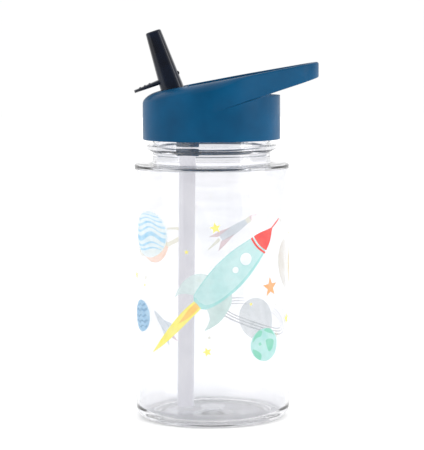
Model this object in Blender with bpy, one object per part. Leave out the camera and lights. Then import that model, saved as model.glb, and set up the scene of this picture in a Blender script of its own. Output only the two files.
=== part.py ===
"""Kids' flip-straw water bottle: a clear screw-neck bottle, a lid with a carry loop, and a folding spout.

Metres, +Z up. The origin is on the bottle's axis, in the plane that it stands on. The carry loop points
along +X and the open spout leans towards -X.
"""

from math import asin, atan, cos, degrees, pi, radians, sin, tan

import bmesh
import bpy
from mathutils import Matrix, Vector

# Clear bottle
BODY_RADIUS = 0.0352
SHOULDER_Z = 0.1156
BODY_WALL = 0.0020
FLOOR_THICKNESS = 0.0019
FOOT_RECESS = 0.0008
FOOT_WIDTH = 0.0032
BASE_CORNER = 0.0055
SHOULDER_CORNER = 0.0018
SHOULDER_RISE = 0.0005
NECK_RADIUS = 0.0268
NECK_WALL = 0.0026
NECK_HEIGHT = 0.0228
NECK_FILLET = 0.0016
BEAD_Z = 0.0063
BEAD_RISE = 0.0025
BEAD_HEIGHT = 0.0022
BEAD_EDGE = 0.0004
LIP_EDGE = 0.0006

# Screw thread
THREAD_PITCH = 0.0040
THREAD_TURNS = 1.5
THREAD_START_Z = 0.0144
NECK_RIDGE_HEIGHT = 0.0017
LID_RIDGE_HEIGHT = 0.0016
RIDGE_BASE = 0.0021
RIDGE_CREST = 0.0009
THREAD_GAP = 0.0005

# Lid
SKIRT_GAP_Z = 0.0111
SKIRT_WALL = 0.0021
GASKET_THICKNESS = 0.0012
GASKET_WIDTH = 0.0019
DECK_THICKNESS = 0.0020
TOP_HEIGHT = 0.02615
TOP_SLOPE = 0.179
CROWN_DROP = 0.0043
CROWN_WIDTH = 0.0086
RIM_WIDTH = 0.0092
SADDLE_HEIGHT = 0.0043
RECESS_START = 0.0052
RECESS_CORNER = 0.0040
LOOP_REACH = 0.0020
LOOP_END_RADIUS = 0.0155
LOOP_THICKNESS = 0.0035
LOOP_ROUNDING = 0.0012
LOOP_UNDER_HEIGHT = 0.0128
LOOP_UNDER_SLOPE = 0.305
TROUGH_WALL = 0.0022
CORE_WALL = 0.0022

# Spout
PIVOT_INSET = 0.0085
PIVOT_DEPTH = 0.00644
SPOUT_LEAN = radians(18.2)
SPOUT_LENGTH = 0.0336
BARREL_RADIUS = 0.0054
BARREL_HALF = 0.0070
SPOUT_TOP_THICKNESS = 0.0071
SPOUT_STRAIGHT = 0.0070
SPOUT_TOP_WIDTH = 0.0104
SPOUT_BORE_RADIUS = 0.0019
TRUNNION_RADIUS = 0.0022
TRUNNION_REACH = 0.0019
TAB_START = 0.0112
TAB_LENGTH = 0.0166
TAB_WIDTH = 0.0108
TAB_ROOT = 0.0022
TAB_TIP = 0.0015
NUB_START = 0.0123
NUB_RADIUS = 0.0011

# Straw, its boss, the seal and the vent valve
STRAW_RADIUS = 0.00375
STRAW_WALL = 0.0007
STRAW_LEAN = radians(0.75)
STRAW_FLOOR_GAP = 0.0010
BOSS_DROP = 0.0044
BOSS_WALL = 0.0012
COLLAR_WALL = 0.0034
SEAL_WALL = 0.0017
SEAL_HEAD = 0.0034
SEAL_STEM = 0.0056
SEAL_REACH = 0.0088
VENT_PLACE = (-0.0020, 0.0140)
VENT_STEM = 0.0011
VENT_HEAD = 0.0026

# Clearances, and how far helpers reach past or into what they cut or join
RUN_GAP = 0.00035
FIT_GAP = 0.0003
CUT_PAST = 0.005
JOIN_OVERLAP = 0.0003
STEM_INSET = 0.00015

# Worked out from the sizes above
NECK_TOP_Z = SHOULDER_Z + NECK_HEIGHT
NECK_BORE = NECK_RADIUS - NECK_WALL
FLOOR_Z = FOOT_RECESS + FLOOR_THICKNESS
SKIRT_Z = SHOULDER_Z + SKIRT_GAP_Z
LID_BORE = NECK_RADIUS + NECK_RIDGE_HEIGHT + THREAD_GAP
LID_RADIUS = LID_BORE + SKIRT_WALL
LOOP_CENTRE_X = LID_RADIUS + LOOP_REACH
CEILING_Z = NECK_TOP_Z + GASKET_THICKNESS + 2 * FIT_GAP
DECK_Z = CEILING_Z + DECK_THICKNESS
SADDLE_Z = DECK_Z + SADDLE_HEIGHT
PIVOT_X = PIVOT_INSET - NECK_BORE
RECESS_X = PIVOT_X + RECESS_START
PIVOT_Z = SKIRT_Z + TOP_HEIGHT + TOP_SLOPE * PIVOT_X - PIVOT_DEPTH
FOLD_ANGLE = pi / 2 + SPOUT_LEAN - atan(TOP_SLOPE)
SLOT_RADIUS = BARREL_RADIUS + RUN_GAP
SLOT_HALF = BARREL_HALF + RUN_GAP
TROUGH_RADIUS = SLOT_RADIUS + TROUGH_WALL
TROUGH_HALF = SLOT_HALF + TROUGH_WALL - FIT_GAP
STRAW_TOP_Z = PIVOT_Z - SLOT_RADIUS - SEAL_REACH
STRAW_X = PIVOT_X + (PIVOT_Z - STRAW_TOP_Z) * tan(SPOUT_LEAN)
BOSS_Z = SKIRT_Z - BOSS_DROP
STRAW_HOLE = STRAW_RADIUS + FIT_GAP

ROUND_STEPS = 48
LID_ARC_STEPS = 60
LOOP_STEPS = 36
CROWN_STEPS = 4


def clear_scene():
    for old in list(bpy.data.objects):
        bpy.data.objects.remove(old, do_unlink=True)


def material(name, color, roughness, alpha=1.0):
    made = bpy.data.materials.new(name)
    made.use_nodes = True
    shader = made.node_tree.nodes["Principled BSDF"]
    shader.inputs["Base Color"].default_value = (*color, 1.0)
    shader.inputs["Roughness"].default_value = roughness
    shader.inputs["Metallic"].default_value = 0.0
    shader.inputs["Alpha"].default_value = alpha
    return made


def finish_mesh(name, bm, sharp_angle=radians(35)):
    """Turns a bmesh into a smooth-shaded object in the scene."""
    bmesh.ops.remove_doubles(bm, verts=bm.verts, dist=1e-7)
    bmesh.ops.recalc_face_normals(bm, faces=bm.faces)
    mesh = bpy.data.meshes.new(name)
    bm.to_mesh(mesh)
    bm.free()
    mesh.shade_smooth()
    mesh.set_sharp_from_angle(angle=sharp_angle)
    made = bpy.data.objects.new(name, mesh)
    bpy.context.scene.collection.objects.link(made)
    return made


def lofted(name, rings):
    """A closed solid through rings of points, capped flat at both ends."""
    bm = bmesh.new()
    rows = [[bm.verts.new(point) for point in ring] for ring in rings]
    count = len(rows[0])
    for low, high in zip(rows, rows[1:]):
        for i in range(count):
            j = (i + 1) % count
            bm.faces.new((low[i], low[j], high[j], high[i]))
    bm.faces.new(list(reversed(rows[0])))
    bm.faces.new(rows[-1])
    return finish_mesh(name, bm)


def turned(name, profile, steps=ROUND_STEPS):
    """A solid turned about Z from (radius, height) points. A profile off the axis is a closed ring."""
    bm = bmesh.new()
    points = [bm.verts.new((r, 0.0, z)) for r, z in profile]
    edges = [bm.edges.new(pair) for pair in zip(points, points[1:])]
    if min(r for r, _ in profile) > 0.0:
        edges.append(bm.edges.new((points[-1], points[0])))
    bmesh.ops.spin(
        bm, geom=points + edges, cent=(0, 0, 0), axis=(0, 0, 1), angle=2 * pi, steps=steps, use_merge=True
    )
    return finish_mesh(name, bm)


def prism_y(name, outline, half_width):
    """An outline of (x, z) points, extruded from -half_width to +half_width along Y."""
    return lofted(name, [[(x, y, z) for x, z in outline] for y in (-half_width, half_width)])


def cylinder(name, radius, start, end, steps=32):
    """A cylinder between two points."""
    start = Vector(start)
    end = Vector(end)
    bm = bmesh.new()
    bmesh.ops.create_cone(
        bm, cap_ends=True, segments=steps, radius1=radius, radius2=radius, depth=(end - start).length
    )
    turn = (end - start).to_track_quat("Z", "Y").to_matrix().to_4x4()
    bm.transform(Matrix.Translation((start + end) / 2) @ turn)
    return finish_mesh(name, bm)


def arc(cx, cz, radius, start, end, steps):
    """Points (x, z) on an arc, from one angle to another, in degrees from +X."""
    turns = [radians(start + (end - start) * i / steps) for i in range(steps + 1)]
    return [(cx + radius * cos(t), cz + radius * sin(t)) for t in turns]


def combine(target, tool, operation):
    """Cuts or joins with a helper, which stays in the file as a hidden wire."""
    change = target.modifiers.new(f"{operation.lower()}_{tool.name}", "BOOLEAN")
    change.operation = operation
    change.solver = "EXACT"
    change.object = tool
    tool.hide_render = True
    tool.display_type = "WIRE"


def helix_ridge(name, root, crest, start_z, steps_per_turn=40):
    """One screw ridge: a trapezoid swept up a helix, tapered to nothing at both ends."""
    steps = round(THREAD_TURNS * steps_per_turn)
    rings = []
    for i in range(steps + 1):
        turn = 2 * pi * THREAD_TURNS * i / steps
        z = start_z + THREAD_PITCH * THREAD_TURNS * i / steps
        rise = min(1.0, 0.15 + 0.2 * min(i, steps - i))
        tip = root + (crest - root) * rise
        half_base = RIDGE_BASE / 2
        half_crest = RIDGE_BASE / 2 + (RIDGE_CREST - RIDGE_BASE) / 2 * rise
        section = [(root, z - half_base), (tip, z - half_crest), (tip, z + half_crest), (root, z + half_base)]
        rings.append([(r * cos(turn), r * sin(turn), h) for r, h in section])
    return lofted(name, rings)


# ---- bottle

def bottle_profile():
    """The bottle's wall as one line, from the axis under the base, up outside and down inside."""
    foot_outer = BODY_RADIUS - BASE_CORNER
    foot_inner = foot_outer - FOOT_WIDTH
    inside = BODY_RADIUS - BODY_WALL
    inner_corner = BASE_CORNER - BODY_WALL
    shoulder_end = NECK_RADIUS + NECK_FILLET
    root_z = SHOULDER_Z + SHOULDER_RISE + NECK_FILLET
    bead = SHOULDER_Z + BEAD_Z
    bead_radius = NECK_RADIUS + BEAD_RISE
    under_z = SHOULDER_Z - BODY_WALL
    throat_z = SHOULDER_Z + SHOULDER_RISE
    line = [(0.0, FOOT_RECESS), (foot_inner - 0.0014, FOOT_RECESS), (foot_inner, 0.0)]
    line += arc(foot_outer, BASE_CORNER, BASE_CORNER, -90, 0, 6)
    line += arc(BODY_RADIUS - SHOULDER_CORNER, SHOULDER_Z - SHOULDER_CORNER, SHOULDER_CORNER, 0, 90, 4)
    line += arc(shoulder_end, root_z, NECK_FILLET, 270, 180, 3)
    line += [(NECK_RADIUS, bead - BEAD_HEIGHT / 2)]
    line += [(bead_radius - BEAD_EDGE, bead - BEAD_HEIGHT / 2 + BEAD_EDGE), (bead_radius, bead - BEAD_EDGE)]
    line += [(bead_radius, bead + BEAD_EDGE), (bead_radius - BEAD_EDGE, bead + BEAD_HEIGHT / 2 - BEAD_EDGE)]
    line += [(NECK_RADIUS, bead + BEAD_HEIGHT / 2)]
    line += [(NECK_RADIUS, NECK_TOP_Z - LIP_EDGE), (NECK_RADIUS - LIP_EDGE, NECK_TOP_Z)]
    line += [(NECK_BORE + LIP_EDGE, NECK_TOP_Z), (NECK_BORE, NECK_TOP_Z - LIP_EDGE)]
    line += [(NECK_BORE, throat_z), (NECK_BORE + 0.0006, throat_z - 0.0014), (NECK_BORE + 0.0020, under_z)]
    line += arc(inside - SHOULDER_CORNER, under_z - SHOULDER_CORNER, SHOULDER_CORNER, 90, 0, 3)
    line += arc(inside - inner_corner, FLOOR_Z + inner_corner, inner_corner, 0, -90, 5)
    line += [(0.0040, FLOOR_Z + 0.0003), (0.0030, FLOOR_Z + 0.0008), (0.0, FLOOR_Z + 0.0010)]
    return line


def make_bottle(look):
    bottle = turned("bottle_body", bottle_profile())
    start = SHOULDER_Z + THREAD_START_Z
    ridge = helix_ridge("neck_ridge", NECK_RADIUS - JOIN_OVERLAP, NECK_RADIUS + NECK_RIDGE_HEIGHT, start)
    combine(bottle, ridge, "UNION")
    bottle.data.materials.append(look)
    return bottle


def make_gasket(look):
    inner = NECK_RADIUS + 0.0001 - GASKET_WIDTH
    outer = NECK_RADIUS + 0.0001
    low = NECK_TOP_Z + FIT_GAP
    high = low + GASKET_THICKNESS
    corner = 0.0003
    profile = [(outer - corner, low), (outer, low + corner), (outer, high - corner), (outer - corner, high)]
    profile += [(inner + corner, high), (inner, high - corner), (inner, low + corner), (inner + corner, low)]
    gasket = turned("lid_gasket", profile)
    gasket.data.materials.append(look)
    return gasket


# ---- lid

def blend(low, high, x):
    """Smooth change from 0 to 1 between two places."""
    t = min(1.0, max(0.0, (x - low) / (high - low)))
    return t * t * (3 - 2 * t)


def top_z(x):
    return SKIRT_Z + TOP_HEIGHT + TOP_SLOPE * x


def loop_under_z(x):
    return SKIRT_Z + LOOP_UNDER_HEIGHT + LOOP_UNDER_SLOPE * x


def toward_loop(x):
    """0 over the round cap, 1 along the carry loop."""
    return blend(0.0, 0.65 * LID_RADIUS, x)


def on_circle(turn, radius=1.0, centre_x=0.0):
    return Vector((centre_x + radius * cos(turn), radius * sin(turn)))


def lid_stations():
    """Outline of the lid seen from above, as (point, outward normal, point of the round skirt)."""
    tangent = pi / 2 - asin((LID_RADIUS - LOOP_END_RADIUS) / LOOP_CENTRE_X)
    stations = []
    for i in range(LID_ARC_STEPS):
        turn = tangent + (2 * pi - 2 * tangent) * i / LID_ARC_STEPS
        stations.append((on_circle(turn, LID_RADIUS), on_circle(turn), on_circle(turn, LID_RADIUS)))
    straight = LOOP_CENTRE_X * sin(tangent)
    bend = LOOP_END_RADIUS * 2 * tangent
    for i in range(LOOP_STEPS):
        skirt = on_circle(-tangent + 2 * tangent * i / LOOP_STEPS, LID_RADIUS)
        along = (2 * straight + bend) * i / LOOP_STEPS
        turn = -tangent + 2 * tangent * min(1.0, max(0.0, (along - straight) / bend))
        bend_point = on_circle(turn, LOOP_END_RADIUS, LOOP_CENTRE_X)
        cap_point = on_circle(turn, LID_RADIUS)
        left_over = max(0.0, straight - along, along - straight - bend) / straight
        stations.append((bend_point.lerp(cap_point, left_over), on_circle(turn), skirt))
    return stations


def make_outer(stations):
    """The lid's outer shape, solid: round skirt, loop slab, and the rounded crown under the sloping top."""
    rows = [[] for _ in range(4 + CROWN_STEPS)]
    for point, normal, skirt in stations:
        share = toward_loop(point.x)
        drop = CROWN_DROP + (LOOP_ROUNDING - CROWN_DROP) * share
        width = CROWN_WIDTH + (LOOP_ROUNDING - CROWN_WIDTH) * share
        rows[0].append((*skirt, SKIRT_Z))
        rows[1].append((*skirt, loop_under_z(skirt.x)))
        rows[2].append((*point, loop_under_z(point.x)))
        for k in range(CROWN_STEPS + 1):
            rise = pi / 2 * k / CROWN_STEPS
            place = point - normal * width * (1 - cos(rise))
            rows[3 + k].append((*place, top_z(place.x) - drop * (1 - sin(rise))))
    return lofted("lid_shell", rows)


def recess_outline(stations):
    """Inner edge of the rim, closed by a straight end beside the spout with two round corners."""
    outline = []
    for point, normal, _ in stations:
        width = RIM_WIDTH + (LOOP_THICKNESS - RIM_WIDTH) * toward_loop(point.x)
        outline.append(point - normal * width)
    kept = [place for place in outline if place.x > RECESS_X + RECESS_CORNER]
    split = next(i for i in range(len(kept)) if kept[i].y < 0 <= kept[i - 1].y)
    kept = kept[split:] + kept[:split]
    side = kept[-1].y - RECESS_CORNER
    turns = [radians(15 + 75 * i / 4) for i in range(5)]
    corner = [(RECESS_X + RECESS_CORNER * (1 - sin(t)), side + RECESS_CORNER * cos(t)) for t in turns]
    return kept + [Vector(p) for p in corner] + [Vector((x, -y)) for x, y in reversed(corner)]


def make_recess(stations):
    """Space above the deck and inside the carry loop. Its deep part stops inside the skirt."""
    step = 0.0004
    deep_limit = LID_BORE - 0.0018
    rows = [[], [], [], []]
    for place in recess_outline(stations):
        deep = place * min(1.0, deep_limit / place.length)
        deep = deep * (1 - step / deep.length)
        rows[0].append((*deep, DECK_Z))
        rows[1].append((*deep, SADDLE_Z))
        rows[2].append((*place, SADDLE_Z))
        rows[3].append((*place, top_z(LOOP_CENTRE_X + LOOP_END_RADIUS) + CUT_PAST))
    return lofted("recess", rows)


def spout_point(along, across):
    """(x, z) at a distance up the open spout's axis and across it, towards the carry loop."""
    x = PIVOT_X - along * sin(SPOUT_LEAN) + across * cos(SPOUT_LEAN)
    z = PIVOT_Z + along * cos(SPOUT_LEAN) + across * sin(SPOUT_LEAN)
    return x, z


def pivot_cylinder(name, radius, half_length, steps):
    """A cylinder along the spout's hinge axis."""
    return cylinder(name, radius, (PIVOT_X, -half_length, PIVOT_Z), (PIVOT_X, half_length, PIVOT_Z), steps)


def trough_outline(radius, top):
    """Side view of the space that the spout turns in, or of the wall round it."""
    slope = atan(TOP_SLOPE)
    curve = arc(PIVOT_X, PIVOT_Z, radius, 180 + degrees(SPOUT_LEAN), 270 + degrees(slope), 10)
    start_x, start_z = curve[0]
    end_x, end_z = curve[-1]
    up = (top - start_z) / cos(SPOUT_LEAN)
    out = (top - end_z) / sin(slope)
    left_top = (start_x - up * sin(SPOUT_LEAN), top)
    right_top = (end_x + out * cos(slope), top)
    return [left_top] + curve + [right_top]


def make_slot(name):
    """Space for the spout. Over the deck its right end is closed short, because the recess is open there."""
    outline = trough_outline(SLOT_RADIUS, DECK_Z + FIT_GAP)
    left = trough_outline(SLOT_RADIUS, top_z(0.0) + CUT_PAST)[0]
    outline = [left] + outline[1:] + [(RECESS_X + 0.002, DECK_Z + FIT_GAP)]
    outline.append((RECESS_X + 0.002, left[1]))
    return prism_y(name, outline, SLOT_HALF)


def make_trough():
    """Wall under the deck that holds the spout's slot, kept clear of the neck's bore."""
    deck_middle = DECK_Z - DECK_THICKNESS / 2
    trough = prism_y("trough", trough_outline(TROUGH_RADIUS, PIVOT_Z), TROUGH_HALF)
    bore = cylinder(
        "trough_limit", NECK_BORE - 2 * FIT_GAP, (0, 0, BOSS_Z), (0, 0, deck_middle), ROUND_STEPS
    )
    combine(trough, bore, "INTERSECT")
    return trough


def make_core():
    """Groove that thins the crown from below, left out towards the carry loop."""
    rows = [[], [], [], []]
    inner = NECK_RADIUS + 2 * FIT_GAP
    outer = LID_BORE - FIT_GAP
    steps = 40
    for i in range(steps + 1):
        turn = radians(66 + 228 * i / steps)
        for row, radius in ((0, inner), (1, outer), (2, outer), (3, inner)):
            x = radius * cos(turn)
            y = radius * sin(turn)
            roof = top_z(x) - CORE_WALL - 0.25 * CROWN_DROP
            rows[row].append((x, y, CEILING_Z - 0.001 if row < 2 else roof))
    bm = bmesh.new()
    grid = [[bm.verts.new(point) for point in row] for row in rows]
    for i in range(steps):
        for k in range(4):
            m = (k + 1) % 4
            bm.faces.new((grid[k][i], grid[m][i], grid[m][i + 1], grid[k][i + 1]))
    bm.faces.new([grid[k][0] for k in range(4)])
    bm.faces.new([grid[k][steps] for k in reversed(range(4))])
    return finish_mesh("crown_core", bm)


def make_lid(look):
    stations = lid_stations()
    lid = make_outer(stations)
    cavity = cylinder("lid_cavity", LID_BORE, (0, 0, SKIRT_Z - CUT_PAST), (0, 0, CEILING_Z), ROUND_STEPS)
    combine(lid, cavity, "DIFFERENCE")
    combine(lid, make_core(), "DIFFERENCE")
    combine(lid, make_recess(stations), "DIFFERENCE")
    combine(lid, make_trough(), "UNION")

    combine(lid, make_collar(), "UNION")
    combine(lid, make_boss(), "UNION")
    combine(lid, make_slot("spout_slot"), "DIFFERENCE")
    sockets = pivot_cylinder("hinge_sockets", TRUNNION_RADIUS + RUN_GAP, SLOT_HALF + TRUNNION_REACH, 24)
    combine(lid, sockets, "DIFFERENCE")
    start = SHOULDER_Z + THREAD_START_Z - THREAD_PITCH / 2
    ridge = helix_ridge("lid_ridge", LID_BORE + JOIN_OVERLAP, LID_BORE - LID_RIDGE_HEIGHT, start)
    combine(lid, ridge, "UNION")
    cut_passages(lid)
    lid.data.materials.append(look)
    return lid


def make_collar():
    """Thick ring under the slot, round the seal's slanted head."""
    x = (spout_point(-SLOT_RADIUS, 0)[0] + STRAW_X) / 2
    radius = SPOUT_BORE_RADIUS + SEAL_WALL + FIT_GAP + COLLAR_WALL
    low = STRAW_TOP_Z + SEAL_STEM / 3
    return cylinder("collar", radius, (x, 0, low), (x, 0, PIVOT_Z - SLOT_RADIUS - 0.0005))


def make_boss():
    """Stub under the lid that grips the straw, with a rounded lower edge."""
    radius = STRAW_HOLE + BOSS_WALL
    top = PIVOT_Z - SLOT_RADIUS - 0.0009
    round_edge = 0.0008
    profile = [(0.0, top), (radius, top)]
    profile += arc(radius - round_edge, BOSS_Z + round_edge, round_edge, 0, -90, 3)
    profile += [(0.0, BOSS_Z)]
    boss = turned("boss", profile, 32)
    boss.location.x = STRAW_X
    return boss


def cut_passages(lid):
    """The straw's socket, the seal's pocket and the vent hole."""
    head_top = spout_point(-SLOT_RADIUS + 0.002, 0)
    head_low = spout_point(-SLOT_RADIUS - SEAL_HEAD - FIT_GAP, 0)
    pocket_radius = SPOUT_BORE_RADIUS + SEAL_WALL + FIT_GAP
    pocket = cylinder(
        "seal_pocket", pocket_radius, (head_low[0], 0, head_low[1]), (head_top[0], 0, head_top[1]), 28
    )
    combine(lid, pocket, "DIFFERENCE")
    hole_top = STRAW_TOP_Z + SEAL_STEM + FIT_GAP
    hole = cylinder("straw_hole", STRAW_HOLE, (STRAW_X, 0, BOSS_Z - CUT_PAST), (STRAW_X, 0, hole_top), 28)
    combine(lid, hole, "DIFFERENCE")
    x, y = VENT_PLACE
    vent = cylinder(
        "vent_hole", VENT_STEM + FIT_GAP, (x, y, CEILING_Z - CUT_PAST), (x, y, DECK_Z + CUT_PAST), 20
    )
    combine(lid, vent, "DIFFERENCE")


# ---- spout

def rounded_section(half_a, half_b, steps=28):
    """A rounded rectangle about the centre, from a superellipse."""
    power = 2 / 3.4
    points = []
    for i in range(steps):
        turn = 2 * pi * (i + 0.5) / steps
        a = abs(cos(turn)) ** power * (1 if cos(turn) > 0 else -1)
        b = abs(sin(turn)) ** power * (1 if sin(turn) > 0 else -1)
        points.append((half_a * a, half_b * b))
    return points


def spout_ring(along, half_thickness, half_width):
    ring = []
    for across, y in rounded_section(half_thickness, half_width):
        x, z = spout_point(along, across)
        ring.append((x, y, z))
    return ring


def make_spout(look):
    spout = pivot_cylinder("spout", BARREL_RADIUS, BARREL_HALF, 40)
    rings = []
    base_thickness = BARREL_RADIUS - STEM_INSET
    base_width = BARREL_HALF - STEM_INSET
    straight = SPOUT_STRAIGHT / SPOUT_LENGTH
    for share in (0.0, straight, 0.4, 0.6, 0.8, 0.97):
        narrowing = max(0.0, share - straight) / (1 - straight)
        thickness = base_thickness + (SPOUT_TOP_THICKNESS / 2 - base_thickness) * narrowing
        width = base_width + (SPOUT_TOP_WIDTH / 2 - base_width) * narrowing
        rings.append(spout_ring(SPOUT_LENGTH * share, thickness, width))
    for share, scale in ((0.99, 0.96), (1.0, 0.84)):
        rings.append(
            spout_ring(SPOUT_LENGTH * share, SPOUT_TOP_THICKNESS / 2 * scale, SPOUT_TOP_WIDTH / 2 * scale)
        )
    combine(spout, lofted("spout_stem", rings), "UNION")
    combine(spout, make_tab(), "UNION")
    pin_end = SLOT_HALF + TRUNNION_REACH - FIT_GAP
    combine(spout, pivot_cylinder("trunnions", TRUNNION_RADIUS, pin_end, 24), "UNION")
    combine(spout, make_nub(), "UNION")
    low = spout_point(-BARREL_RADIUS - CUT_PAST, 0)
    high = spout_point(SPOUT_LENGTH + CUT_PAST, 0)
    bore = cylinder("spout_bore", SPOUT_BORE_RADIUS, (low[0], 0, low[1]), (high[0], 0, high[1]), 20)
    combine(spout, bore, "DIFFERENCE")
    spout.data.materials.append(look)
    return spout


def make_tab():
    """Thumb tab that stands out over the crown, thinner towards its rounded tip."""
    rings = []
    for share, width in ((0.15, 1.0), (0.45, 1.0), (0.75, 0.96), (0.9, 0.86), (0.97, 0.7), (1.0, 0.5)):
        reach = TAB_LENGTH * share
        half = (TAB_ROOT + (TAB_TIP - TAB_ROOT) * share) / 2
        centre = TAB_START - 0.0008 * share
        ring = []
        for rise, y in rounded_section(half, TAB_WIDTH / 2 * width, 20):
            x, z = spout_point(centre + rise, -reach)
            ring.append((x, y, z))
        rings.append(ring)
    return lofted("thumb_tab", rings)


def make_nub():
    """Small rest on the spout's back, which meets the slot's floor when the spout is folded."""
    x, z = spout_point(NUB_START, BARREL_RADIUS - NUB_RADIUS)
    return cylinder("rest_nub", NUB_RADIUS, (x, -0.0022, z), (x, 0.0022, z), 16)


# ---- seal, vent valve and straw

def make_seal(look):
    """Silicone seat: a slanted head under the barrel and an upright stem above the straw."""
    top = spout_point(-SLOT_RADIUS + 0.002, 0)
    low = spout_point(-SLOT_RADIUS - SEAL_HEAD, 0)
    head_radius = SPOUT_BORE_RADIUS + SEAL_WALL
    seal = cylinder("spout_seal", head_radius, (low[0], 0, low[1]), (top[0], 0, top[1]), 28)
    stem = cylinder(
        "seal_stem",
        STRAW_RADIUS,
        (STRAW_X, 0, STRAW_TOP_Z + FIT_GAP),
        (STRAW_X, 0, STRAW_TOP_Z + SEAL_STEM),
        28,
    )
    combine(seal, stem, "UNION")
    combine(seal, make_slot("seal_saddle"), "DIFFERENCE")
    start = spout_point(0, 0)
    end = spout_point(-(PIVOT_Z - STRAW_TOP_Z) / cos(SPOUT_LEAN) - CUT_PAST, 0)
    channel = cylinder("seal_channel", SPOUT_BORE_RADIUS, (start[0], 0, start[1]), (end[0], 0, end[1]), 20)
    combine(seal, channel, "DIFFERENCE")
    seal.data.materials.append(look)
    return seal


def make_vent(look):
    """Mushroom valve in the deck: domed head above, stem through the hole, lip below."""
    over = DECK_Z + FIT_GAP
    under = CEILING_Z - FIT_GAP
    lip = VENT_HEAD - 0.0004
    profile = [(0.0, under - 0.0010), (lip - 0.0006, under - 0.0010), (lip, under - 0.0004), (lip, under)]
    profile += [(VENT_STEM, under), (VENT_STEM, over), (VENT_HEAD, over), (VENT_HEAD, over + 0.0004)]
    profile += [(VENT_HEAD * 0.75, over + 0.0009), (VENT_HEAD * 0.35, over + 0.0012), (0.0, over + 0.0013)]
    valve = turned("vent_valve", profile, 28)
    valve.location = (*VENT_PLACE, 0.0)
    valve.data.materials.append(look)
    return valve


def make_straw(look):
    """Straight tube from the seal to just above the floor, leaning a little away from the carry loop."""
    length = (STRAW_TOP_Z - FIT_GAP * 0.5 - FLOOR_Z - STRAW_FLOOR_GAP) / cos(STRAW_LEAN)
    outer = STRAW_RADIUS
    inner = STRAW_RADIUS - STRAW_WALL
    cuts = 4
    heights = [-length * i / cuts for i in range(cuts + 1)]
    profile = [(outer, h) for h in heights] + [(inner, h) for h in reversed(heights)]
    straw = turned("straw", profile, 24)
    straw.location = (STRAW_X, 0.0, STRAW_TOP_Z)
    straw.rotation_euler.y = STRAW_LEAN
    straw.data.materials.append(look)
    return straw


def helpers_of(piece):
    """The helpers that cut or join a piece, and the ones that shape those."""
    found = [change.object for change in piece.modifiers if change.type == "BOOLEAN"]
    return found + [deeper for helper in found for deeper in helpers_of(helper)]


def axis_empty(name, place, riders):
    """An empty on a joint's axis, which carries the pieces that move and the helpers that shape them."""
    empty = bpy.data.objects.new(name, None)
    empty.location = place
    empty.empty_display_size = 0.01
    bpy.context.scene.collection.objects.link(empty)
    for rider in riders:
        for moved in [rider, *helpers_of(rider)]:
            moved.parent = empty
            moved.matrix_parent_inverse = Matrix.Translation(-Vector(place))
    return empty


def limit_turn(empty, axis, most):
    """Stops an empty's turn about one axis at rest and at its far end."""
    limit = empty.constraints.new("LIMIT_ROTATION")
    setattr(limit, f"use_limit_{axis}", True)
    setattr(limit, f"max_{axis}", most)
    limit.owner_space = "LOCAL"


def main():
    clear_scene()
    clear_plastic = material("clear_plastic", (0.93, 0.95, 0.97), 0.05, 0.35)
    lid_blue = material("lid_blue", (0.012, 0.070, 0.150), 0.35)
    spout_navy = material("spout_navy", (0.008, 0.010, 0.020), 0.15)
    straw_plastic = material("straw_plastic", (0.82, 0.81, 0.86), 0.30, 0.7)
    silicone = material("silicone", (0.80, 0.80, 0.79), 0.55)
    make_bottle(clear_plastic)
    spout = make_spout(spout_navy)
    hinge = axis_empty("spout_hinge", (PIVOT_X, 0.0, PIVOT_Z), [spout])
    limit_turn(hinge, "y", FOLD_ANGLE)
    lid_pieces = [make_lid(lid_blue), make_gasket(silicone), make_seal(silicone), make_vent(silicone)]
    lid_pieces.append(make_straw(straw_plastic))
    axis_empty("lid_axis", (0.0, 0.0, SKIRT_Z), [*lid_pieces, hinge])


main()
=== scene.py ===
from math import asin, atan, cos, degrees, pi, radians, sin, sqrt

import bmesh
import bpy
from mathutils import Matrix, Vector


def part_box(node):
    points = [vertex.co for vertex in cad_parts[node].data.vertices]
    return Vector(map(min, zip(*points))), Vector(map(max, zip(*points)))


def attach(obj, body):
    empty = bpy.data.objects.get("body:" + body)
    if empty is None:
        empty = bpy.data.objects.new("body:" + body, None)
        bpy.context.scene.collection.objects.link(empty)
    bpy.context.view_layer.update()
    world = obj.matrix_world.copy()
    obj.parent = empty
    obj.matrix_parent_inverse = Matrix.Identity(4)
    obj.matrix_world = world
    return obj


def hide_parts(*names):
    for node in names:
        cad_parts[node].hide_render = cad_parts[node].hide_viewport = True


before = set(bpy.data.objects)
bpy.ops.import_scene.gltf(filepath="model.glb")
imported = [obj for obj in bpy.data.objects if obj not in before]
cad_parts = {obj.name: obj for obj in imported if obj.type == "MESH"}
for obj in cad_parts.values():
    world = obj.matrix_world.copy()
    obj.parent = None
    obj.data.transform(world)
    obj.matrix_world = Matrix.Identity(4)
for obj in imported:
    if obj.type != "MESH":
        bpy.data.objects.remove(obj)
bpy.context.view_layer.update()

scene = bpy.context.scene


# The bottle's own lengths are in millimetres, and makePiece turns each finished mesh into metres.
# The camera, the lights and the floor are in metres.

def boxOf(node):
    low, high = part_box(node)
    return low * 1000, high * 1000


whole = {"neckHeight": 22.8, "skirtGap": 11.1, "inkRoom": 0.08}
weld = {"mesh": 1e-4, "cut": 2e-3, "sliver": 1e-3}
bodyHigh = boxOf("bottle_body")[1]
lidHigh = boxOf("lid_shell")[1]
strawLow, strawHigh = boxOf("straw")
printRadius = bodyHigh.y                        # the ink films stop here
bodyRadius = printRadius - whole["inkRoom"]     # polished wall just under the ink
neckTop = bodyHigh.z
shoulderZ = neckTop - whole["neckHeight"]
skirtZ = shoulderZ + whole["skirtGap"]
print("scene: frame loaded")


# building helpers

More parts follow.
